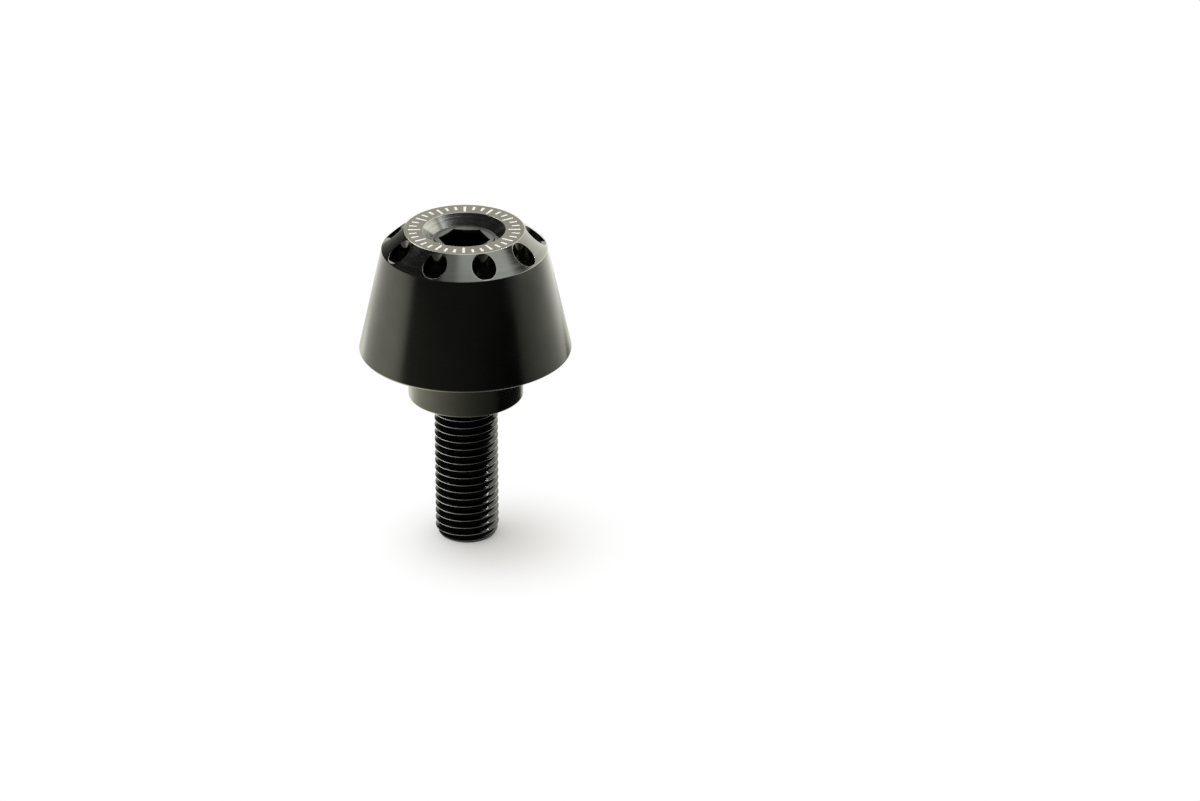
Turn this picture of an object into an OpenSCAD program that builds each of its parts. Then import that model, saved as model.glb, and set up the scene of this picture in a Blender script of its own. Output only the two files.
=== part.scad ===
// Bar end weight for a motorcycle handlebar: a turned body and a spacer collar on a threaded stud.
// It stands on the point of the stud. Z is its axis, and the origin is the centre of that point.

/* [Body] */
// Diameter of the base, the widest of the part
base_d = 40; // [34:0.5:50]
// Height of the long taper, from the base to the shoulder
taper_h = 20.5; // [12:0.5:40]
// Diameter of the shoulder, where the taper meets the bevel
shoulder_d = 31; // [29:0.5:33]
// Height of the bevel, from the shoulder to the end face
bevel_h = 3.75; // [2.5:0.25:7]
// Diameter of the flat end face
face_d = 22.5; // [19:0.5:25]
// Width of the break on the outer edges of the body and the collar
edge_break = 0.25; // [0.1:0.05:0.5]

/* [Recess in the end face] */
// Diameter of the mouth of the countersunk recess
recess_d = 15.5; // [14:0.1:17]
// Slope of the wall of the recess, in degrees from the axis
recess_slope = 45; // [30:5:60]

/* [Pockets in the bevel] */
// Number of pockets round the bevel
pocket_n = 9; // [5:1:12]
// Diameter of one pocket
pocket_d = 4.1; // [2.5:0.1:5]
// Land between the edge of the end face and each pocket
pocket_land = 0.05; // [0.05:0.05:0.8]
// Height of the floor of the pockets above the shoulder
pocket_lip = 0.05; // [0.05:0.05:1]
// Diameter of the shallow eye in the floor of each pocket
pocket_eye_d = 2.3; // [1:0.1:2.4]
// Depth of the eye below the floor
pocket_eye_h = 0.15; // [0.05:0.05:0.5]
// Turn of the ring of pockets about the axis, in degrees
pocket_turn = -3; // [-20:0.5:20]

/* [Collar] */
// Diameter of the spacer collar, close to that of the handlebar
collar_d = 21.6; // [18:0.2:28]
// Height of the spacer collar
collar_h = 9.5; // [3:0.5:20]

/* [Stud] */
// Diameter over the crests of the thread
thread_d = 12; // [11:0.5:14]
// Pitch of the thread
thread_pitch = 1.5; // [1:0.25:2]
// Length of the stud that stands out of the collar
stud_reach = 29; // [15:0.5:60]
// How far the stud inside the collar and the body is slimmer than the thread, on the diameter
shank_relief = 0.6; // [0.4:0.1:1]
// Depth of the outer end of the stud below the end face
stud_inset = 1.7; // [0.5:0.1:4]
// Width of the chamfer at the outer end of the stud
stud_end_break = 0.2; // [0.05:0.05:0.3]
// Width of the chamfer at the point of the stud
point_w = 1; // [0.5:0.1:1.5]
// Height of the chamfer at the point of the stud
point_h = 1.2; // [0.5:0.1:3]

/* [Hexagon socket] */
// Size of the socket across its flats
hex_af = 8; // [5:0.5:8]
// Depth of the flats of the socket
hex_depth = 7; // [4:0.5:12]
// Width of the ledge round the drill point in the floor of the socket
hex_ledge = 0.2; // [0.1:0.1:0.6]
// Width of the chamfer round the mouth of the socket, a hexagon too
hex_break = 0.25; // [0.1:0.05:0.4]
// Slope of that chamfer, in degrees from the axis
hex_break_slope = 30; // [20:5:60]
// Turn of the socket about the axis, in degrees
hex_turn = -4.6; // [-30:0.1:30]

/* [Clearances] */
// Radial gap between the bore of the body and the stud
body_gap = 0.05; // [0.01:0.01:0.1]
// Radial gap that lets the collar pass over the thread
collar_gap = 0.1; // [0.05:0.05:0.4]

/* [Hidden] */
$fn = 128;

// Overshoot of each cut past the surface that it opens
cut = 0.5;
// Point angle of a twist drill
drill_angle = 118;
// Angle between neighbouring flats of a hexagon
hex_angle = 60;
// Direction of the front, from which the ring of pockets is turned
front = -90;
// Angle between the flanks of the thread
thread_angle = 60;

// Levels along the axis
base_z = stud_reach + collar_h;
shoulder_z = base_z + taper_h;
face_z = shoulder_z + bevel_h;
stud_end_z = face_z - stud_inset;

// Radii
face_r = face_d / 2;
recess_r = recess_d / 2;
thread_r = thread_d / 2;
shank_r = thread_r - shank_relief / 2;
bore_r = shank_r + body_gap;
pocket_r = pocket_d / 2;
pocket_circle_r = face_r + pocket_land + pocket_r;

// Depth of the chamfer round the mouth of the socket
hex_break_h = hex_break / tan(hex_break_slope);

// Depth of the countersunk recess, down to the bore
recess_h = (recess_r - bore_r) / tan(recess_slope);

// Thread form: flats of an eighth of the pitch on the crests and a quarter at the roots
crest_w = thread_pitch / 8;
root_w = thread_pitch / 4;
groove_w = thread_pitch - crest_w;
groove_depth = (groove_w - root_w) / 2 / tan(thread_angle / 2);
root_r = thread_r - groove_depth;
groove_n = floor((stud_reach - point_h - crest_w) / thread_pitch);

// Height of the cone that a drill leaves at the bottom of a hole of radius r
function drill_tip(r) = r / tan(drill_angle / 2);

// Outline of one groove of the thread, its middle at height z
function groove(z) = [
    [thread_r, z - groove_w / 2],
    [root_r, z - root_w / 2],
    [root_r, z + root_w / 2],
    [thread_r, z + groove_w / 2],
];

// Height of the middle of groove i, counted from the lowest. The last one ends a crest below the collar.
function groove_z(i) = stud_reach - crest_w - groove_w / 2 - (groove_n - 1 - i) * thread_pitch;

// One pocket: a flat-bottomed hole parallel to the axis, with a shallow round eye in its floor
module pocket() {
    floor_z = shoulder_z + pocket_lip;
    translate([pocket_circle_r, 0, floor_z])
        cylinder(r = pocket_r, h = face_z - floor_z + cut);
    translate([pocket_circle_r, 0, floor_z - pocket_eye_h])
        cylinder(r = pocket_eye_d / 2, h = pocket_eye_h + cut);
}

// Turned body: a long taper, a bevel with a ring of pockets, and a countersunk end face
module body() {
    color([0.10, 0.10, 0.11])
        difference() {
            rotate_extrude()
                polygon([
                    [bore_r, base_z],
                    [base_d / 2 - edge_break, base_z],
                    [base_d / 2, base_z + edge_break],
                    [shoulder_d / 2, shoulder_z],
                    [face_r, face_z],
                    [recess_r, face_z],
                    [bore_r, face_z - recess_h],
                ]);
            for (i = [0 : pocket_n - 1])
                rotate(front + pocket_turn + (i + 0.5) * 360 / pocket_n)
                    pocket();
        }
}

// Spacer collar between the end of the handlebar and the base of the body
module collar() {
    collar_r = collar_d / 2;
    bore_r = thread_r + collar_gap;
    color([0.20, 0.20, 0.21])
        rotate_extrude()
            polygon([
                [bore_r, stud_reach],
                [collar_r - edge_break, stud_reach],
                [collar_r, stud_reach + edge_break],
                [collar_r, base_z - edge_break],
                [collar_r - edge_break, base_z],
                [bore_r, base_z],
            ]);
}

// Space between the two flats of pair i, opened by the chamfer at the mouth, which is at the origin
module between_flats(i) {
    half = hex_af / 2;
    mouth_half = half + (hex_break_h + cut) * tan(hex_break_slope);
    rotate([90, 0, hex_turn + (i + 0.5) * hex_angle])
        linear_extrude(height = thread_d, center = true)
            polygon([
                [-half, -hex_depth],
                [half, -hex_depth],
                [half, -hex_break_h],
                [mouth_half, cut],
                [-mouth_half, cut],
                [-half, -hex_break_h],
            ]);
}

// Hexagon socket, its mouth at the origin, with a drill point in its floor
module socket() {
    tip_r = hex_af / 2 - hex_ledge;
    intersection() {
        between_flats(0);
        between_flats(1);
        between_flats(2);
    }
    translate([0, 0, -hex_depth])
        cylinder(r = tip_r, h = cut);
    translate([0, 0, -hex_depth - drill_tip(tip_r)])
        cylinder(r1 = 0, r2 = tip_r, h = drill_tip(tip_r));
}

// Stud: threaded where it stands out of the collar, plain inside, with a hexagon socket in its outer end
module stud() {
    outline = concat(
        [[0, 0], [thread_r - point_w, 0], [thread_r, point_h]],
        [for (i = [0 : groove_n - 1]) each groove(groove_z(i))],
        [
            [thread_r, stud_reach],
            [shank_r, stud_reach],
            [shank_r, stud_end_z - stud_end_break],
            [shank_r - stud_end_break, stud_end_z],
            [0, stud_end_z],
        ]
    );
    color([0.05, 0.05, 0.06])
        difference() {
            rotate_extrude()
                polygon(outline);
            translate([0, 0, stud_end_z])
                socket();
        }
}

body();
collar();
stud();
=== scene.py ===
# Bar end weight for a motorcycle handlebar: a black turned weight and a spacer collar on a
# threaded stud. It stands on the point of its stud on a white table, in a small light tent.
import math

import bpy
import numpy as np
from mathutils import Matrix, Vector


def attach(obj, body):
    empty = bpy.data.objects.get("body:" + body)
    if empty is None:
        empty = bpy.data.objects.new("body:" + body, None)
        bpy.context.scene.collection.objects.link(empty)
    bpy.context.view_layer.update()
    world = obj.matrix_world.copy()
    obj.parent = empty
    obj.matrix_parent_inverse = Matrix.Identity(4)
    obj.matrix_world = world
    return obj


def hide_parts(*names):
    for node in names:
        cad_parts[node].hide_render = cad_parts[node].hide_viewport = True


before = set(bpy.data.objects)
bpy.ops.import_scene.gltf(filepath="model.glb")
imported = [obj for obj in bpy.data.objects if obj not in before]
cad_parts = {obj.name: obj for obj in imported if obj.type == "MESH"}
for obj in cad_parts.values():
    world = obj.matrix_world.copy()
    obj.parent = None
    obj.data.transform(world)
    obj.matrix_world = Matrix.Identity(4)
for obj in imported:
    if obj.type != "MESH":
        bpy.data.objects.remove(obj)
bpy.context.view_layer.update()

# The camera: a long lens that looks down on the part from the front, a little to the right of its
# axis. Its height and distance are those at which the rims have the photograph's curves.
look_down = 25.852
camera_data = bpy.data.cameras.new("camera")
camera_data.sensor_width = 36.0
camera_data.lens = 186.27
camera = bpy.data.objects.new("camera", camera_data)
camera.location = (0.02525, -1.0530, 0.5376)
camera.rotation_euler = (math.radians(90 - look_down), 0, 0)
bpy.context.scene.collection.objects.link(camera)
bpy.context.scene.camera = camera
bpy.context.scene.view_settings.view_transform = "Standard"


# The table: a matt white sheet that the part stands on, and that fades into the white behind it.
# Only the contact shadow near the foot shows.
def colour(code):
    """Linear colour of an sRGB hex code such as "#1A1A1C"."""
    parts = [int(code[i:i + 2], 16) / 255 for i in (1, 3, 5)]
    return [c / 12.92 if c <= 0.04045 else ((c + 0.055) / 1.055) ** 2.4 for c in parts] + [1.0]


def add(tree, kind, inputs=None, **settings):
    """Adds one node to a tree, with its settings, and its inputs either linked or set."""
    node = tree.nodes.new(kind)
    for name, value in settings.items():
        setattr(node, name, value)
    for socket, value in (inputs or {}).items():
        if isinstance(value, bpy.types.NodeSocket):
            tree.links.new(value, node.inputs[socket])
        else:
            node.inputs[socket].default_value = value
    return node


def new_material(name):
    """An empty material and its node tree."""
    material = bpy.data.materials.new(name)
    material.use_nodes = True
    material.node_tree.nodes.clear()
    return material, material.node_tree


def seen_directly(tree):
    """1 for a ray from the camera or off a glossy or clear surface, otherwise 0."""
    path = add(tree, "ShaderNodeLightPath")
    seen = path.outputs["Is Camera Ray"]
    for kind_of_ray in ("Is Glossy Ray", "Is Transmission Ray"):
        either = add(tree, "ShaderNodeMath", {0: seen, 1: path.outputs[kind_of_ray]},
                     operation="MAXIMUM")
        seen = either.outputs[0]
    return seen


table_size = 6.0
half = table_size / 2
table_corners = [(-half, -half, 0), (half, -half, 0), (half, half, 0), (-half, half, 0)]
table_mesh = bpy.data.meshes.new("table")
table_mesh.from_pydata(table_corners, [], [(0, 1, 2, 3)])
table = bpy.data.objects.new("table", table_mesh)
bpy.context.scene.collection.objects.link(table)
table_paper, tree = new_material("matt_white_paper")
place = add(tree, "ShaderNodeTexCoord")
# The shadow shows fully within the first radius round its centre and not at all past the second
shadow_centre, shadow_r, shadow_end_r = (0.007, -0.005, 0.0), 0.002, 0.026
distance = add(tree, "ShaderNodeVectorMath", {0: place.outputs["Object"], 1: shadow_centre},
               operation="DISTANCE")
fade = add(tree, "ShaderNodeMapRange", {
    "Value": distance.outputs["Value"], "From Min": shadow_r, "From Max": shadow_end_r},
    interpolation_type="SMOOTHSTEP")
shown = add(tree, "ShaderNodeMath", {0: fade.outputs[0], 1: seen_directly(tree)},
            operation="MULTIPLY")
paper = add(tree, "ShaderNodeBsdfDiffuse", {"Color": colour("#F8F7F3")})
white = add(tree, "ShaderNodeEmission", {"Color": colour("#FFFFFF"), "Strength": 1.0})
both = add(tree, "ShaderNodeMixShader", {
    0: shown.outputs[0], 1: paper.outputs[0], 2: white.outputs[0]})
add(tree, "ShaderNodeOutputMaterial", {"Surface": both.outputs[0]})
table_mesh.materials.append(table_paper)

# The room light: even and white all round, with one large soft lamp overhead and a weaker one
# behind. A small lamp at the right gives only the glints on the lower turns of the thread.
world = bpy.data.worlds.new("studio")
bpy.context.scene.world = world
world.use_nodes = True
world.node_tree.nodes.clear()
tree = world.node_tree
# White as it is seen, and the slightly lower light that falls on the part
light_seen, light_on_part = 1.0, 0.95
level = add(tree, "ShaderNodeMapRange", {
    "Value": seen_directly(tree), "To Min": light_on_part, "To Max": light_seen})
backdrop = add(tree, "ShaderNodeBackground", {
    "Color": colour("#FFFFFF"), "Strength": level.outputs[0]})
add(tree, "ShaderNodeOutputWorld", {"Surface": backdrop.outputs[0]})


def soft_lamp(name, place, target, width, depth, watts):
    """A rectangular soft lamp that lights the part and isn't seen in it."""
    data = bpy.data.lights.new(name, "AREA")
    data.shape = "RECTANGLE"
    data.size = width
    data.size_y = depth
    data.energy = watts
    lamp = bpy.data.objects.new(name, data)
    lamp.location = place
    lamp.rotation_euler = (Vector(target) - Vector(place)).to_track_quat("-Z", "Y").to_euler()
    lamp.visible_camera = False
    lamp.visible_glossy = False
    bpy.context.scene.collection.objects.link(lamp)
    return lamp


middle_of_part = (0, 0, 0.04)
soft_lamp("lamp_overhead", (0.2, 0.0, 1.0), middle_of_part, width=1.1, depth=0.9, watts=1.2)
soft_lamp("lamp_behind", (-0.2, 1.0, 0.6), middle_of_part, width=1.6, depth=0.7, watts=0.8)
right_of_thread = (0.0045, -0.0039, 0.008)
glint_lamp = soft_lamp("lamp_small", (0.3315, 0.1257, 0.494), right_of_thread,
                       width=0.05, depth=0.05, watts=0.25)
glint_lamp.visible_glossy = True
glint_lamp.visible_diffuse = False
# It stands outside the tent, where rays that leave the part at random can't find it
glint_lamp.data.cycles.use_multiple_importance_sampling = False


# The light tent: the paper walls, the paper floor and the soft boxes that the glossy black
# surfaces mirror. It is dark on the side of the camera, and light at the sides and behind.
def light_tent_part(part, material):
    """Makes an object a part of the tent, which only reflections see."""
    part.visible_camera = False
    part.visible_diffuse = False
    part.visible_shadow = False
    part.visible_transmission = False
    part.data.materials.append(material)


def light_round(tree, axes, stops, brightest):
    """Light by compass angle, from stops of angle and light. The angle is 0 on the camera's
    side and grows to the right of it. A ramp holds only 0 to 1, so it is scaled by brightest."""
    front = add(tree, "ShaderNodeMath", {0: axes.outputs["Y"], 1: -1.0}, operation="MULTIPLY")
    around = add(tree, "ShaderNodeMath", {0: axes.outputs["X"], 1: front.outputs[0]},
                 operation="ARCTAN2")
    share = add(tree, "ShaderNodeMapRange", {
        "Value": around.outputs[0], "From Min": -math.pi, "From Max": math.pi})
    ramp = add(tree, "ShaderNodeValToRGB", {"Fac": share.outputs[0]})
    steps = ramp.color_ramp.elements
    while len(steps) > 1:
        steps.remove(steps[-1])
    for i, (angle, light) in enumerate(stops):
        position = (angle + 180) / 360
        step = steps[0] if i == 0 else steps.new(position)
        step.position = position
        step.color = [light / brightest] * 3 + [1.0]
    scaled = add(tree, "ShaderNodeMath", {0: ramp.outputs["Color"], 1: brightest},
                 operation="MULTIPLY")
    return scaled.outputs[0]


tent_radius, tent_centre_z = 0.15, 0.045
tent_paper, tree = new_material("light_tent_paper")
place = add(tree, "ShaderNodeTexCoord")
toward = add(tree, "ShaderNodeVectorMath", {0: place.outputs["Object"]}, operation="NORMALIZE")
axes = add(tree, "ShaderNodeSeparateXYZ", {0: toward.outputs[0]})
# The foot of the wall is mirrored by the sides of the taper, and the part above it by the recess
# and the right of the bevel
low_wall = light_round(tree, axes, [
    (-180, 1.6), (-150, 1.4), (-120, 1.45), (-90, 1.6), (-80, 1.6), (-70, 1.2), (-63, 0.18),
    (-40, 0.14), (0, 0.085), (40, 0.03), (58, 0.02), (62, 0.24), (72, 0.45), (84, 0.7),
    (96, 0.95), (111, 1.3), (130, 2.0), (180, 1.6)], brightest=2.5)
high_wall = light_round(tree, axes, [
    (-180, 1.9), (-168, 2.4), (-162, 2.0), (-155, 0.4), (-135, 0.15), (-120, 0.09),
    (-60, 0.09), (0, 0.085), (50, 0.06), (70, 0.6), (90, 2.6), (110, 4.2), (124, 4.6),
    (135, 4.2), (146, 3.5), (158, 2.8), (170, 2.0), (180, 1.9)], brightest=5.0)
wall_share = add(tree, "ShaderNodeMapRange", {
    "Value": axes.outputs["Z"], "From Min": -0.02, "From Max": 0.06},
    interpolation_type="SMOOTHSTEP")
wall = add(tree, "ShaderNodeMix", {0: wall_share.outputs[0], 2: low_wall, 3: high_wall},
           data_type="FLOAT")


def band(tree, value, low, high, soft):
    """1 where value lies between low and high, with soft edges, otherwise 0."""
    rise = add(tree, "ShaderNodeMapRange", {
        "Value": value, "From Min": low - soft, "From Max": low + soft},
        interpolation_type="SMOOTHSTEP")
    fall = add(tree, "ShaderNodeMapRange", {
        "Value": value, "From Min": high + soft, "From Max": high - soft},
        interpolation_type="SMOOTHSTEP")
    inside = add(tree, "ShaderNodeMath", {0: rise.outputs[0], 1: fall.outputs[0]},
                 operation="MULTIPLY")
    return inside.outputs[0]


# Places in the roof are given as on a flat ceiling, one unit above the middle of the tent: across
# to the right, and along to the back
least_height, front_bend = 0.05, -0.28
height = add(tree, "ShaderNodeMath", {0: axes.outputs["Z"], 1: least_height},
             operation="MAXIMUM")
across = add(tree, "ShaderNodeMath", {0: axes.outputs["X"], 1: height.outputs[0]},
             operation="DIVIDE")
along = add(tree, "ShaderNodeMath", {0: axes.outputs["Y"], 1: height.outputs[0]},
            operation="DIVIDE")
across_squared = add(tree, "ShaderNodeMath", {0: across.outputs[0], 1: across.outputs[0]},
                     operation="MULTIPLY")
bent = add(tree, "ShaderNodeMath", {
    0: across_squared.outputs[0], 1: front_bend, 2: along.outputs[0]},
    operation="MULTIPLY_ADD")
# The soft boxes: left and right edges and their softness, then front and back edges, what these
# are measured along, and their softness, and the light. In order they are the main box, the wider
# and weaker one over it, the one behind at the left for the face's edge, and the one at the right.
soft_boxes = [
    (-0.10, 0.82, 0.05, -0.42, 1.10, bent, 0.05, 2.7),
    (-0.36, 0.82, 0.05, -0.42, 1.10, bent, 0.05, 1.75),
    (-0.95, -0.40, 0.04, 0.30, 2.00, along, 0.05, 12.0),
    (0.90, 1.40, 0.03, -0.25, 0.05, along, 0.03, 4.0)]
dark_roof = 0.1
roof = dark_roof
for left, right, side_soft, front, back, measure, end_soft, light in soft_boxes:
    box = add(tree, "ShaderNodeMath", {
        0: band(tree, across.outputs[0], left, right, side_soft),
        1: band(tree, measure.outputs[0], front, back, end_soft)}, operation="MULTIPLY")
    with_box = add(tree, "ShaderNodeMath", {0: box.outputs[0], 1: light, 2: roof},
                   operation="MULTIPLY_ADD")
    roof = with_box.outputs[0]
roof_share = add(tree, "ShaderNodeMapRange", {
    "Value": axes.outputs["Z"], "From Min": 0.60, "From Max": 0.68},
    interpolation_type="SMOOTHSTEP")
inside = add(tree, "ShaderNodeMix", {0: roof_share.outputs[0], 2: wall.outputs[0], 3: roof},
             data_type="FLOAT")
paper_tint = add(tree, "ShaderNodeMix", {
    0: roof_share.outputs[0], 6: colour("#FFFFF5"), 7: colour("#FBFFFF")}, data_type="RGBA")
glow = add(tree, "ShaderNodeEmission", {
    "Color": paper_tint.outputs[2], "Strength": inside.outputs[0]})
add(tree, "ShaderNodeOutputMaterial", {"Surface": glow.outputs[0]})
bpy.ops.mesh.primitive_uv_sphere_add(segments=64, ring_count=32, radius=tent_radius,
                                     location=(0, 0, tent_centre_z))
tent = bpy.context.object
tent.name = "light_tent"
light_tent_part(tent, tent_paper)

# The floor of the tent is the same paper, round the foot of the part. It is bright at the left
# and darker towards the right, where near the foot a bright patch lights the thread.
floor_paper, tree = new_material("light_tent_floor_paper")
place = add(tree, "ShaderNodeTexCoord")
axes = add(tree, "ShaderNodeSeparateXYZ", {0: place.outputs["Object"]})
left_side = [
    (-180, 1.0), (-150, 1.1), (-139, 2.1), (-106, 2.5), (-82, 2.4), (-63, 1.9), (-45, 1.45),
    (-28, 1.0), (-12, 0.68), (4, 0.49), (20, 0.35), (37, 0.25)]
# Far from the foot it is mirrored by the collar and the taper, near it by the thread
far_right = [(58, 0.17), (67, 0.02), (107, 0.015), (130, 0.05), (138, 0.4), (147, 1.2),
             (180, 1.0)]
near_right = [(54, 0.15), (62, 0.03), (80, 0.03), (88, 1.4), (107, 1.6), (126, 1.8),
              (150, 1.6), (180, 1.2)]
brightest_floor = 2.5
far_level = light_round(tree, axes, left_side + far_right, brightest_floor)
near_level = light_round(tree, axes, left_side + near_right, brightest_floor)
near_r, far_r = 0.045, 0.06
distance = add(tree, "ShaderNodeVectorMath", {0: place.outputs["Object"]}, operation="LENGTH")
far_share = add(tree, "ShaderNodeMapRange", {
    "Value": distance.outputs["Value"], "From Min": near_r, "From Max": far_r},
    interpolation_type="SMOOTHSTEP")
floor_level = add(tree, "ShaderNodeMix", {
    0: far_share.outputs[0], 2: near_level, 3: far_level}, data_type="FLOAT")
glow = add(tree, "ShaderNodeEmission", {
    "Color": colour("#FFFFF0"), "Strength": floor_level.outputs[0]})
add(tree, "ShaderNodeOutputMaterial", {"Surface": glow.outputs[0]})
tent_floor_r = math.sqrt(tent_radius ** 2 - tent_centre_z ** 2)
# A ring just above the table, with a hole for the foot of the part
floor_hole_r, floor_lift = 0.012, 0.0002
bearings = np.radians(np.arange(0, 360, 5))
floor_points = [(r * math.cos(a), r * math.sin(a), floor_lift)
                for r in (floor_hole_r, tent_floor_r) for a in bearings]
count = len(bearings)
floor_faces = [(i, (i + 1) % count, count + (i + 1) % count, count + i) for i in range(count)]
floor_mesh = bpy.data.meshes.new("light_tent_floor")
floor_mesh.from_pydata(floor_points, [], floor_faces)
tent_floor = bpy.data.objects.new("light_tent_floor", floor_mesh)
bpy.context.scene.collection.objects.link(tent_floor)
light_tent_part(tent_floor, floor_paper)

# The stud: an M12 x 1.5 steel stud, blackened and lightly oiled. Its free end has a rolled
# right-hand thread and a chamfered point, and the end in the body has a broached socket for an
# 8 mm key.
MM = 0.001


def new_skin():
    """The skin of a piece in mm: its points, its faces, the normals at their corners, and the
    finish of each face."""
    return {"points": [], "index": {}, "faces": [], "normals": [], "finish": []}


def cover(skin, points, normals, finish=0):
    """Adds a grid of faces to a skin, with the normals at its points. The finish is one number,
    or one for each row of faces."""
    points = np.asarray(points, float)
    normals = np.broadcast_to(np.asarray(normals, float), points.shape)
    lengths = np.linalg.norm(normals, axis=2, keepdims=True)
    normals = normals / np.where(lengths > 1e-12, lengths, 1)
    rows, columns = points.shape[:2]
    ids = np.empty((rows, columns), int)
    # Points that agree to a ten-thousandth of a millimetre become one
    for i in range(rows):
        for j in range(columns):
            key = tuple(np.round(points[i, j] * 1e4).astype(int))
            if key not in skin["index"]:
                skin["index"][key] = len(skin["points"])
                skin["points"].append(points[i, j])
            ids[i, j] = skin["index"][key]
    for i in range(rows - 1):
        for j in range(columns - 1):
            corners = [(i, j), (i, j + 1), (i + 1, j + 1), (i + 1, j)]
            kept = []
            for c in corners:
                if ids[c] not in [ids[k] for k in kept]:
                    kept.append(c)
            if len(kept) < 3:
                continue
            a, b, c = points[kept[0]], points[kept[1]], points[kept[2]]
            facing = np.cross(b - a, c - a)
            if len(kept) == 4:
                facing = facing + np.cross(c - a, points[kept[3]] - a)
            if np.dot(facing, sum(normals[k] for k in kept)) < 0:
                kept.reverse()
            skin["faces"].append([int(ids[k]) for k in kept])
            skin["normals"].extend(normals[k] for k in kept)
            skin["finish"].append(finish if isinstance(finish, int) else finish[i])


def piece_from(name, skin, materials):
    """Makes the mesh of a skin, in metres, and puts it in the scene."""
    mesh = bpy.data.meshes.new(name)
    mesh.from_pydata([tuple(p * MM) for p in skin["points"]], [], skin["faces"])
    for material in materials:
        mesh.materials.append(material)
    mesh.polygons.foreach_set("material_index", skin["finish"])
    mesh.polygons.foreach_set("use_smooth", [True] * len(skin["faces"]))
    mesh.normals_split_custom_set([tuple(n) for n in skin["normals"]])
    mesh.update()
    piece = bpy.data.objects.new(name, mesh)
    bpy.context.scene.collection.objects.link(piece)
    return piece


def ring(radius, height, angles):
    """Points on a circle about the axis."""
    heights = np.full_like(angles, height)
    return np.stack([radius * np.cos(angles), radius * np.sin(angles), heights], axis=1)


def outward(across, up, angles):
    """Directions that lean out from the axis by across and rise by up."""
    return ring(across, up, angles)


# The finishes of the stud, in the order of its materials
blackened, faced, worn_and_highlit, dirt_and_shade = range(4)
thread_r, thread_pitch, root_r = 6.0, 1.5, 5.188
point_r, point_h = 5.25, 1.2
run_out_z, thread_end, shank_r = 29.2, 30.0, 5.7
stud_end, stud_break = 61.05, 0.2
thread_columns = np.radians(np.linspace(0, 360, 145))
# One turn of the thread, from crest to crest: share of the pitch, and depth below the crest as a
# share of the whole depth
thread_form = [
    (0, 0), (0.04, 0.004), (0.055, 0.03), (0.08, 0.1), (0.2, 0.42), (0.3, 0.68), (0.4, 0.9),
    (0.44, 0.975), (0.5, 1), (0.56, 0.975), (0.6, 0.9), (0.7, 0.68), (0.8, 0.42), (0.92, 0.1),
    (0.945, 0.03), (0.96, 0.004)]
# The crests are worn bare and made light, partly wear and partly painted highlight, and the roots
# are dark with oil and with painted shade
form_finish = {0: worn_and_highlit} | {row: dirt_and_shade for row in range(5, 12)}
# Height of a crest at the angle 0, which puts the crests at the front where the photograph has
# them, and the turns from there, with enough at both ends to be cut off
thread_start = 0.735
turns = range(-2, 21)
rows = []
for turn in turns:
    for share, depth in thread_form:
        height = thread_start + thread_pitch * (turn + share + thread_columns / (2 * math.pi))
        height = np.clip(height, 0, thread_end)
        radius = np.full_like(height, thread_r - depth * (thread_r - root_r))
        radius = np.minimum(radius, point_r + (thread_r - point_r) * height / point_h)
        fade_out = np.clip((height - run_out_z) / (thread_end - run_out_z), 0, 1)
        radius = radius * (1 - fade_out) + shank_r * fade_out
        rows.append(ring(radius, height, thread_columns))
stud_skin = new_skin()
thread_points = np.array(rows)
along_thread = np.gradient(thread_points, axis=0)
# Along the helix the form repeats one turn further up, so the slope round the stud is known
# without the end columns
thread_lead = np.full(thread_points.shape[:2], thread_pitch / (2 * math.pi))
around_thread = np.stack([-thread_points[:, :, 1], thread_points[:, :, 0], thread_lead], axis=2)
thread_normals = np.cross(around_thread, along_thread)
flat = np.linalg.norm(thread_normals, axis=2) < 1e-9
thread_normals[flat] = thread_points[flat] * (1, 1, 0)
thread_finish = [form_finish.get(row % len(thread_form), blackened)
                 for row in range(len(thread_points) - 1)]
cover(stud_skin, thread_points, thread_normals, thread_finish)
point_rings = (point_r, 4.0, 2.0, 0.0)
cover(stud_skin, [ring(r, 0, thread_columns) for r in point_rings], (0, 0, -1))
cover(stud_skin, [ring(shank_r, h, thread_columns) for h in (thread_end, stud_end - stud_break)],
      [outward(1, 0, thread_columns)] * 2)


def hexagon(across_flats, turn, corner_r):
    """Points round a hexagon with slightly rounded corners, and the directions that face out of
    it."""
    points, facing = [], []
    for side in range(6):
        middle = math.radians(turn + 30 + 60 * side)
        apothem = across_flats / 2
        half_side = (apothem * math.tan(math.radians(30))
                     - corner_r * math.tan(math.radians(30)))
        for s in np.linspace(-1, 1, 11):
            base = np.array([math.cos(middle), math.sin(middle)])
            sideways = np.array([-math.sin(middle), math.cos(middle)])
            points.append(base * apothem + sideways * s * half_side)
            facing.append(base)
        corner = np.array([math.cos(middle + math.pi / 6), math.sin(middle + math.pi / 6)])
        centre = corner * (apothem - corner_r) / math.cos(math.pi / 6)
        for s in (0.25, 0.5, 0.75):
            direction = middle + s * math.pi / 3
            out = np.array([math.cos(direction), math.sin(direction)])
            points.append(centre + out * corner_r)
            facing.append(out)
    points.append(points[0])
    facing.append(facing[0])
    return np.array(points), np.array(facing)


def lift(flat_points, height):
    """Puts points of the plan at a height."""
    return np.column_stack([flat_points, np.full(len(flat_points), height)])


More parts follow.
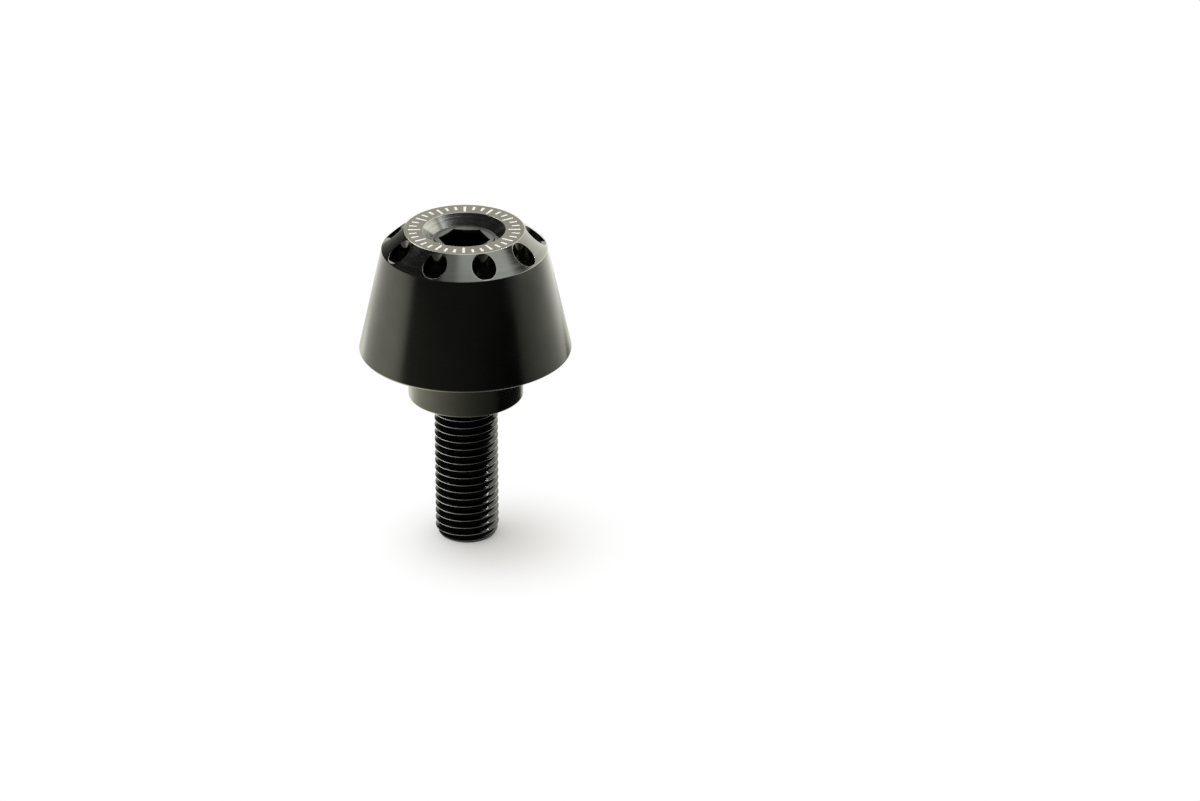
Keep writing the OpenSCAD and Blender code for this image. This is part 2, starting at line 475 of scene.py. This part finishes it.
hex_af, hex_turn, hex_depth, hex_corner_r = 8.0, -4.6, 7.0, 0.15
hex_break, hex_break_slope = 0.25, math.radians(30)
hex_break_h = hex_break / math.tan(hex_break_slope)
hex_edge, hex_out = hexagon(hex_af, hex_turn, hex_corner_r)
hex_mouth, _ = hexagon(hex_af + 2 * hex_break, hex_turn, hex_corner_r)
hex_angles = np.unwrap(np.arctan2(hex_mouth[:, 1], hex_mouth[:, 0]))
end_ring = ring(shank_r - stud_break, 0, hex_angles)[:, :2]
rim = ring(shank_r, stud_end - stud_break, hex_angles)
cover(stud_skin, [rim, lift(end_ring, stud_end)], [outward(1, 1, hex_angles)] * 2)
dish_slope = math.radians(15)


def dish(flat_points):
    """Points of the plan put on the shallow dish that is turned in the end of the stud round the
    socket."""
    from_edge = shank_r - stud_break - np.linalg.norm(flat_points, axis=1)
    return np.column_stack([flat_points, stud_end - from_edge * math.tan(dish_slope)])


# The end round the socket, with painted shade on its outer edge
cover(stud_skin, [dish(end_ring * (1 - s) + hex_mouth * s) for s in np.linspace(0, 1, 6)],
      [outward(-math.sin(dish_slope), math.cos(dish_slope), hex_angles)] * 6, faced)
inward_hex = np.column_stack([-hex_out, np.zeros(len(hex_out))])
break_lean = inward_hex * math.cos(hex_break_slope) + (0, 0, math.sin(hex_break_slope))
mouth_line = dish(hex_mouth)
break_foot = np.column_stack([hex_edge, mouth_line[:, 2] - hex_break_h])
# The break round the socket takes the oily black: dirt and painted shade
cover(stud_skin, [mouth_line, break_foot], [break_lean] * 2, dirt_and_shade)
hex_floor = stud_end - hex_depth
cover(stud_skin, [break_foot, lift(hex_edge, hex_floor)], [inward_hex] * 2)
drill_r, drill_half_angle = 3.8, math.radians(59)
drill_ring = ring(drill_r, 0, hex_angles)[:, :2]
cover(stud_skin, [lift(hex_edge, hex_floor), lift(drill_ring, hex_floor)], (0, 0, 1))
drill_tip = drill_r / math.tan(drill_half_angle)
cover(stud_skin, [lift(drill_ring, hex_floor), lift(drill_ring * 0, hex_floor - drill_tip)],
      [outward(-math.cos(drill_half_angle), math.sin(drill_half_angle), hex_angles)] * 2)

# Black oxide on steel: a thin dark skin that keeps the steel's shine, with a faint oil mottle of
# about a millimetre.
black_steel, tree = new_material("black_oxide_steel")
place = add(tree, "ShaderNodeTexCoord")
mottle = add(tree, "ShaderNodeTexNoise", {
    "Vector": place.outputs["Object"], "Scale": 900.0, "Detail": 3.0})
shine = add(tree, "ShaderNodeMapRange", {"Value": mottle.outputs[0], "To Min": 0.1, "To Max": 0.18})
tone = add(tree, "ShaderNodeMix", {
    0: mottle.outputs[0], 6: colour("#1C1C1C"), 7: colour("#2A2A29")}, data_type="RGBA")
grain = add(tree, "ShaderNodeTexNoise", {
    "Vector": place.outputs["Object"], "Scale": 6000.0, "Detail": 1.0})
bump = add(tree, "ShaderNodeBump", {
    "Height": grain.outputs[0], "Strength": 0.15, "Distance": 0.01 * MM})
steel = add(tree, "ShaderNodeBsdfPrincipled", {
    "Base Color": tone.outputs[2], "Roughness": shine.outputs[0], "Metallic": 1.0,
    "Normal": bump.outputs[0]})
add(tree, "ShaderNodeOutputMaterial", {"Surface": steel.outputs[0]})

# The faced end of the stud: the same steel where the turning tool left it brighter, in rings 0.3 mm
# apart. Its outermost half millimetre is kept dark, a painted shade for the dark that the wall of
# the recess gives it.
faced_steel, tree = new_material("faced_black_steel")
place = add(tree, "ShaderNodeTexCoord")
mottle = add(tree, "ShaderNodeTexNoise", {
    "Vector": place.outputs["Object"], "Scale": 1500.0, "Detail": 3.0})
axes = add(tree, "ShaderNodeSeparateXYZ", {0: place.outputs["Object"]})
plan = add(tree, "ShaderNodeCombineXYZ", {0: axes.outputs["X"], 1: axes.outputs["Y"]})
radius = add(tree, "ShaderNodeVectorMath", {0: plan.outputs[0]}, operation="LENGTH")
rings = add(tree, "ShaderNodeTexNoise", {
    "W": radius.outputs["Value"], "Scale": 3300.0, "Detail": 2.0}, noise_dimensions="1D")
painted_shade_r, bare_r = 5.3 * MM, 4.9 * MM
bare = add(tree, "ShaderNodeMapRange", {
    "Value": radius.outputs["Value"], "From Min": painted_shade_r, "From Max": bare_r})
worn = add(tree, "ShaderNodeMath", {0: mottle.outputs[0], 1: rings.outputs[0]}, operation="ADD")
share = add(tree, "ShaderNodeMath", {0: worn.outputs[0], 1: bare.outputs[0]},
            operation="MULTIPLY")
tone = add(tree, "ShaderNodeMix", {
    0: share.outputs[0], 6: colour("#1A1A18"), 7: colour("#373632")}, data_type="RGBA")
bump = add(tree, "ShaderNodeBump", {
    "Height": rings.outputs[0], "Strength": 1.0, "Distance": 0.02 * MM})
steel = add(tree, "ShaderNodeBsdfPrincipled", {
    "Base Color": tone.outputs[2], "Roughness": 0.3, "Metallic": 1.0,
    "Normal": bump.outputs[0]})
add(tree, "ShaderNodeOutputMaterial", {"Surface": steel.outputs[0]})

# The crests of the thread: bare steel in a line less than a tenth of a millimetre wide, dulled by
# oil. Its light colour is partly wear and partly a painted highlight that draws the thin bright
# line along each crest.
crest_wear_and_highlight, tree = new_material("worn_crest_painted_highlight")
place = add(tree, "ShaderNodeTexCoord")
crest_highlight_noise = add(tree, "ShaderNodeTexNoise", {
    "Vector": place.outputs["Object"], "Scale": 700.0, "Detail": 3.0})
tone = add(tree, "ShaderNodeMix", {
    0: crest_highlight_noise.outputs[0], 6: colour("#A2A5A2"), 7: colour("#B8BBB8")}, data_type="RGBA")
steel = add(tree, "ShaderNodeBsdfPrincipled", {
    "Base Color": tone.outputs[2], "Roughness": 0.25, "Metallic": 1.0})
add(tree, "ShaderNodeOutputMaterial", {"Surface": steel.outputs[0]})

# The roots of the thread and the break round the socket: matt black, with old oil and dust on the
# steel, and painted shade where the grooves and the socket lie in shadow.
root_dirt_and_shade, tree = new_material("oily_dirt_and_painted_shade")
oil_and_shade = add(tree, "ShaderNodeBsdfPrincipled", {
    "Base Color": colour("#080808"), "Roughness": 0.9, "Metallic": 0.0,
    "Specular IOR Level": 0.0})
add(tree, "ShaderNodeOutputMaterial", {"Surface": oil_and_shade.outputs[0]})

stud = piece_from("threaded_stud", stud_skin, [black_steel, faced_steel, crest_wear_and_highlight, root_dirt_and_shade])
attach(stud, "root")
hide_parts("stud")


# The spacer collar: a plain ring parted off the same bar as the body, its edges broken with a
# tool, and anodised black. It slides over the thread, and is held between the body and the
# handlebar.
def turned_outline(corners):
    """The runs of a closed turned outline: straight ones and rounded corners, each with points
    and normals. A corner is its radius, height and rounding in mm. The outline goes out along
    the bottom and up the outside."""
    ends = []
    count = len(corners)
    for i, (r, z, rounding) in enumerate(corners):
        here = np.array([r, z])
        before = here - np.array(corners[i - 1][:2])
        after = np.array(corners[(i + 1) % count][:2]) - here
        before, after = before / np.linalg.norm(before), after / np.linalg.norm(after)
        turn = math.atan2(before[0] * after[1] - before[1] * after[0], float(before @ after))
        cut_back = rounding * math.tan(abs(turn) / 2)
        start, stop = here - before * cut_back, here + after * cut_back
        ends.append((start, stop, before, after, turn, rounding))
    runs = []
    for i in range(count):
        start, stop, before, after, turn, rounding = ends[i]
        if rounding > 0:
            side = 1 if turn > 0 else -1
            first = math.atan2(-before[0], before[1])
            centre = start - side * rounding * np.array([before[1], -before[0]])
            steps = first + turn * np.linspace(0, 1, 6)
            normals = np.stack([np.cos(steps), np.sin(steps)], axis=1)
            runs.append((centre + side * rounding * normals, normals))
        following = ends[(i + 1) % count][0]
        normal = np.array([after[1], -after[0]])
        runs.append((np.array([stop, following]), np.array([normal, normal])))
    return runs


turned_columns = np.radians(np.arange(0, 361))


def turn_run(skin, run, finish):
    """Turns one run of an outline about the axis."""
    points, normals = run
    cover(skin, [ring(r, z, turned_columns) for r, z in points],
          [outward(a, u, turned_columns) for a, u in normals], finish)


# The finishes of the collar, in the order of its materials
collar_plain, collar_edge_highlight = range(2)
edge_round, bore_round = 0.25, 0.1
collar_low, collar_high = 29.0, 38.5
collar_r, collar_bore_r = 10.8, 6.1
collar_skin = new_skin()
# The rounded edges take the lighter edge finish, a painted highlight
for run in turned_outline([
        (collar_bore_r, collar_low, bore_round), (collar_r, collar_low, edge_round),
        (collar_r, collar_high, edge_round), (collar_bore_r, collar_high, bore_round)]):
    is_rounded = len(run[0]) > 2
    turn_run(collar_skin, run, collar_edge_highlight if is_rounded else collar_plain)


# Black anodised aluminium as turned: the dyed oxide over fine tool marks gives a deep black with
# a soft metal shine. The marks are 0.1 mm apart on the real part, too fine to show, and are drawn
# at about 0.3 mm.
def anodised(name, dark, light, roughness, mark_depth, marks_to_metre):
    """Turned and black anodised aluminium, from dark and smooth to light and rough in a cloudy
    pattern, with marks that run round the axis. Their depth is in mm."""
    material, tree = new_material(name)
    place = add(tree, "ShaderNodeTexCoord")
    axes = add(tree, "ShaderNodeSeparateXYZ", {0: place.outputs["Object"]})
    plan = add(tree, "ShaderNodeCombineXYZ", {0: axes.outputs["X"], 1: axes.outputs["Y"]})
    radius = add(tree, "ShaderNodeVectorMath", {0: plan.outputs[0]}, operation="LENGTH")
    # The marks follow the height and the radius together, with more weight on the height, so
    # that they show on each cone of the part, the bevel too
    step_up = 1.7
    feed = add(tree, "ShaderNodeMath", {
        0: axes.outputs["Z"], 1: step_up, 2: radius.outputs["Value"]}, operation="MULTIPLY_ADD")
    marks = add(tree, "ShaderNodeTexNoise", {
        "W": feed.outputs[0], "Scale": marks_to_metre, "Detail": 3.0}, noise_dimensions="1D")
    bump = add(tree, "ShaderNodeBump", {
        "Height": marks.outputs[0], "Strength": 1.0, "Distance": mark_depth * MM})
    cloud = add(tree, "ShaderNodeTexNoise", {
        "Vector": place.outputs["Object"], "Scale": 260.0, "Detail": 4.0})
    blend = add(tree, "ShaderNodeMath", {0: cloud.outputs[0], 1: marks.outputs[0]},
                operation="ADD")
    share = add(tree, "ShaderNodeMapRange", {
        "Value": blend.outputs[0], "From Min": 0.7, "From Max": 1.3})
    tone = add(tree, "ShaderNodeMix", {
        0: share.outputs[0], 6: colour(dark), 7: colour(light)}, data_type="RGBA")
    rough = add(tree, "ShaderNodeMapRange", {
        "Value": share.outputs[0], "To Min": roughness[0], "To Max": roughness[1]})
    round_axis = add(tree, "ShaderNodeTangent", direction_type="RADIAL", axis="Z")
    metal = add(tree, "ShaderNodeBsdfPrincipled", {
        "Base Color": tone.outputs[2], "Metallic": 1.0, "Roughness": rough.outputs[0],
        "Anisotropic": 0.35, "Tangent": round_axis.outputs[0], "Normal": bump.outputs[0]})
    add(tree, "ShaderNodeOutputMaterial", {"Surface": metal.outputs[0]})
    return material


collar_finish = anodised("black_anodised_collar", "#393935", "#41413D",
                         roughness=(0.16, 0.24), mark_depth=0.001, marks_to_metre=3500.0)
# The broken edges are lighter than the rest, a painted highlight that makes them show as thin
# bright lines.
edge_highlight_finish = anodised("black_anodised_edges_painted_highlight", "#62605A", "#74726B",
                       roughness=(0.14, 0.22), mark_depth=0.0005, marks_to_metre=3500.0)
collar = piece_from("spacer_collar", collar_skin, [collar_finish, edge_highlight_finish])
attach(collar, "root")
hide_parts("collar")

# The body: turned in one setting from 40 mm aluminium bar, then drilled from the front with nine
# end-milled pockets round its bevel, and anodised. Its end face carries a ring of engraved and
# white-filled division marks.
base_z, shoulder_z, face_z = 38.5, 59.0, 62.75
base_r, shoulder_r, face_r = 20.0, 15.5, 11.25
recess_r, bore_r = 7.75, 5.75
rim_round, shoulder_round, face_round, mouth_round = 0.3, 0.2, 0.2, 0.12
# The finishes of the body, in the order of its materials
plain, filled, on_face, in_pocket_highlit, on_edge_highlight, in_recess_highlit = range(6)
# The wall of the recess is a little steeper than the plain cone of the CAD, and ends on a narrow
# flat round the bore
cad_slope, recess_slope = math.radians(45), math.radians(39)
recess_depth = (recess_r - bore_r) / math.tan(cad_slope)
recess_foot_r = recess_r - recess_depth * math.tan(recess_slope)
# The runs of the outline, from the base out and up to the face, and down the recess to the bore
(base_run, rim_run, taper_run, shoulder_run, bevel_run, face_edge_run, face_run, mouth_run,
 recess_run, flat_run, bore_run) = turned_outline([
     (bore_r, base_z, 0), (base_r, base_z, rim_round), (shoulder_r, shoulder_z, shoulder_round),
     (face_r, face_z, face_round), (recess_r, face_z, mouth_round),
     (recess_foot_r, face_z - recess_depth, 0), (bore_r, face_z - recess_depth, 0)])
body_skin = new_skin()
for run in (base_run, taper_run, bore_run, flat_run):
    turn_run(body_skin, run, plain)
# The rounded edges take the lighter edge finish, a painted highlight
for run in (rim_run, shoulder_run, face_edge_run, mouth_run):
    turn_run(body_skin, run, on_edge_highlight)
# The recess takes its lighter finish, a painted highlight
turn_run(body_skin, recess_run, in_recess_highlit)

# The division marks are cut into the face a hair deep and filled with paint, and each third one
# is longer. Their pitch and width are in degrees.
mark_pitch, mark_width, long_each = 10, 3, 3
mark_radii = [face_run[0][0][0], 10.45, 8.95, 8.15, face_run[0][1][0]]
mark_depth = 0.03
# The rings of the face, counted from outside, that a long and a short mark take
long_mark, short_mark = (1, 2), (1,)


def mark_here(row, degree):
    """Whether the cell of the face inside mark_radii[row] and after this degree is part of a
    mark."""
    number, offset = divmod(degree + mark_pitch // 2, mark_pitch)
    rows_cut = long_mark if number % long_each == 0 else short_mark
    return row in rows_cut and abs(offset - mark_pitch // 2) <= mark_width // 2


low = face_z - mark_depth
for row in range(len(mark_radii) - 1):
    outer, inner = mark_radii[row], mark_radii[row + 1]
    for degree in range(360):
        angles = turned_columns[degree:degree + 2]
        if not mark_here(row, degree):
            cover(body_skin, [ring(outer, face_z, angles), ring(inner, face_z, angles)],
                  (0, 0, 1), on_face)
            continue
        cover(body_skin, [ring(outer, low, angles), ring(inner, low, angles)], (0, 0, 1), filled)
        for radius, neighbour, sense in ((outer, row - 1, -1), (inner, row + 1, 1)):
            if not mark_here(neighbour, degree):
                cover(body_skin, [ring(radius, face_z, angles), ring(radius, low, angles)],
                      [outward(sense, 0, angles)] * 2, on_face)
        for edge, neighbour, sense in ((0, degree - 1, 1), (1, degree + 1, -1)):
            if not mark_here(row, neighbour % 360):
                at_edge = angles[edge:edge + 1]
                side = [[ring(r, h, at_edge)[0] for r in (outer, inner)] for h in (face_z, low)]
                facing = (-math.sin(angles[edge]) * sense, math.cos(angles[edge]) * sense, 0)
                cover(body_skin, side, facing, on_face)

# The pockets are sunk parallel to the axis with an end mill that is moved a little sideways, so
# they are longer round the bevel than across it. Each floor has a shallow round eye, and the rim
# a light break from the tumbling.
pocket_n, pocket_circle_r = 9, 13.32
pocket_across, pocket_round = 2.0, 2.27
pocket_turn = -113
pocket_lip = 0.16
pocket_floor = shoulder_z + pocket_lip
pocket_break, least_break = 0.08, 0.005
eye_r, eye_depth = 1.15, 0.15
half_share = 180 // pocket_n
bevel_out, bevel_in = bevel_run[0][0][0], bevel_run[0][1][0]
bevel_slope = (face_z - shoulder_z) / (shoulder_r - face_r)
bevel_normal = bevel_run[1][0]


def bevel_height(flat_points):
    """Height of the bevel over points of the plan."""
    return shoulder_z + (shoulder_r - np.linalg.norm(flat_points, axis=1)) * bevel_slope


for pocket in range(pocket_n):
    middle = pocket_turn + 360 / pocket_n * pocket
    spread = np.arange(-half_share, half_share + 1)
    outer_arc = ring(bevel_out, 0, np.radians(middle + spread))[:, :2]
    inner_arc = ring(bevel_in, 0, np.radians(middle - spread))[:, :2]
    side_radii = np.linspace(bevel_out, bevel_in, 11)
    last, first = math.radians(middle + half_share), math.radians(middle - half_share)
    left_side = np.outer(side_radii, (math.cos(last), math.sin(last)))
    right_side = np.outer(side_radii[::-1], (math.cos(first), math.sin(first)))
    border = np.concatenate([outer_arc[:-1], left_side[:-1], inner_arc[:-1], right_side])
    middle_angle = math.radians(middle)
    centre = pocket_circle_r * np.array([math.cos(middle_angle), math.sin(middle_angle)])
    direction = border - centre
    direction = direction / np.linalg.norm(direction, axis=1, keepdims=True)
    share_out = direction @ (centre / np.linalg.norm(centre))
    wall_r = 1 / np.sqrt((share_out / pocket_across) ** 2
                         + (1 - share_out ** 2) / pocket_round ** 2)
    rim_edge = centre + direction * wall_r[:, None]
    # The break is narrower where the rim comes close to the edge of the face or to the shoulder
    edge_r = np.linalg.norm(rim_edge, axis=1)
    room = np.minimum(edge_r - bevel_in, bevel_out - edge_r) - least_break
    rim_out = rim_edge + direction * np.clip(room, least_break, pocket_break)[:, None]
    wall_height = bevel_height(rim_edge) - pocket_floor
    # On the bevel, from the border of the pocket's share to its rim
    slopes, levels = [], []
    for share in np.linspace(0, 1, 6):
        plan_points = border * (1 - share) + rim_out * share
        bearing = np.arctan2(plan_points[:, 1], plan_points[:, 0])
        slopes.append(np.column_stack([plan_points, bevel_height(plan_points)]))
        levels.append(outward(bevel_normal[0], bevel_normal[1], bearing))
    cover(body_skin, slopes, levels, plain)
    # The broken rim, from the bevel down into the wall, or onto the floor where there is no wall
    top = slopes[-1]
    corner = np.column_stack([rim_edge, np.maximum(bevel_height(rim_edge), pocket_floor)])
    drop = np.clip(wall_height - pocket_break, 0, None)
    pull_in = np.clip(pocket_break - wall_height, 0, pocket_break)[:, None]
    foot_plan = rim_edge - direction * pull_in
    foot = np.column_stack([foot_plan, pocket_floor + drop])
    wall_share = np.clip(wall_height / pocket_break, 0, 1)[:, None]
    wall_normal = np.column_stack([-direction, np.zeros(len(direction))])
    foot_normal = wall_normal * wall_share + np.array([0, 0, 1.0]) * (1 - wall_share)
    bends, bend_normals = [], []
    for t in np.linspace(0, 1, 5):
        bends.append(top * (1 - t) ** 2 + corner * 2 * t * (1 - t) + foot * t ** 2)
        bend_normals.append(levels[-1] * (1 - t) + foot_normal * t)
    # The broken rim takes the lighter edge finish, a painted highlight
    cover(body_skin, bends, bend_normals, on_edge_highlight)
    # The walls and floor of the pocket take its lighter finish, a painted highlight
    floor_edge = lift(foot_plan, pocket_floor)
    cover(body_skin, [foot, (foot + floor_edge) / 2, floor_edge], [wall_normal] * 3, in_pocket_highlit)
    eye_edge = lift(centre + direction * eye_r, pocket_floor)
    cover(body_skin, [floor_edge, (floor_edge + eye_edge) / 2, eye_edge], (0, 0, 1), in_pocket_highlit)
    eye_foot = eye_edge - (0, 0, eye_depth)
    cover(body_skin, [eye_edge, eye_foot], [wall_normal] * 2, in_pocket_highlit)
    eye_centre = lift(centre + direction * 0, pocket_floor - eye_depth)
    cover(body_skin, [eye_foot, eye_centre], (0, 0, 1), in_pocket_highlit)

# The taper and the bevel are as turned. The face is turned with a finer feed, the pockets are
# milled smooth, and the recess is bored with a coarse feed that leaves plain bands. The pockets and
# the recess are made lighter than the taper, a painted highlight for the bright patches on their
# walls.
taper_finish = anodised("black_anodised_taper", "#41413E", "#484845",
                        roughness=(0.14, 0.2), mark_depth=0.001, marks_to_metre=3500.0)
face_finish = anodised("black_anodised_face", "#464339", "#545045",
                       roughness=(0.22, 0.34), mark_depth=0.003, marks_to_metre=5200.0)
pocket_highlight_finish = anodised("black_anodised_pocket_painted_highlight", "#585753", "#605F5B",
                         roughness=(0.08, 0.13), mark_depth=0.0005, marks_to_metre=3500.0)
recess_highlight_finish = anodised("black_anodised_recess_painted_highlight", "#4C4C49", "#6E6E6A",
                         roughness=(0.14, 0.2), mark_depth=0.008, marks_to_metre=2400.0)

# White enamel rubbed into the engraved marks and wiped off flush, so its surface is matt and a
# little uneven.
marking, tree = new_material("white_filling_enamel")
place = add(tree, "ShaderNodeTexCoord")
wiped = add(tree, "ShaderNodeTexNoise", {
    "Vector": place.outputs["Object"], "Scale": 2500.0, "Detail": 3.0})
tone = add(tree, "ShaderNodeMix", {
    0: wiped.outputs[0], 6: colour("#C9C9C7"), 7: colour("#F2F2F0")}, data_type="RGBA")
enamel = add(tree, "ShaderNodeBsdfPrincipled", {
    "Base Color": tone.outputs[2], "Roughness": 0.55, "Metallic": 0.0})
add(tree, "ShaderNodeOutputMaterial", {"Surface": enamel.outputs[0]})

body = piece_from("weight_body", body_skin, [
    taper_finish, marking, face_finish, pocket_highlight_finish, edge_highlight_finish, recess_highlight_finish])
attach(body, "root")
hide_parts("body")
